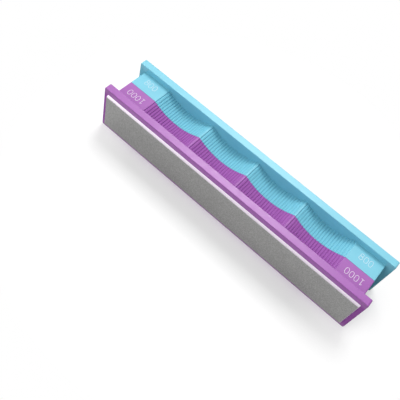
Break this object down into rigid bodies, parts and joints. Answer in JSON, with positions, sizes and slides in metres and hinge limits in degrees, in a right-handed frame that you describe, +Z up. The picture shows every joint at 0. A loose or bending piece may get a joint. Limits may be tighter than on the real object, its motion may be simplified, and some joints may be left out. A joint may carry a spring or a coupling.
{
  "type": "sharpening whetstone",
  "caption": "Diamond sharpening stone with an H-section moulded grip, ribbed finger scallops and a bonded diamond plate on each long side, for honing blades by hand.",
  "frame": {"origin": "middle of the rectangle that the lower edges of the two flanges stand on", "axes": "+X along the stone, +Y across it from the fine side to the coarse side, +Z up"},
  "size_m": [0.1546, 0.0318, 0.0271],
  "materials": {
    "purple_plastic": "satin moulded",
    "blue_plastic": "satin moulded",
    "adhesive": "dull film",
    "steel": "ground and nickel plated",
    "fine_diamond": "fine diamond grit in plated nickel",
    "coarse_diamond": "coarser diamond grit in plated nickel"
  },
  "bodies": {
    "root": {"fine_body_half": "purple_plastic", "coarse_body_half": "blue_plastic", "fine_adhesive_film": "adhesive", "coarse_adhesive_film": "adhesive", "fine_steel_plate": "steel", "coarse_steel_plate": "steel", "fine_diamond_layer": "fine_diamond", "coarse_diamond_layer": "coarse_diamond"}
  },
  "joints": []
}
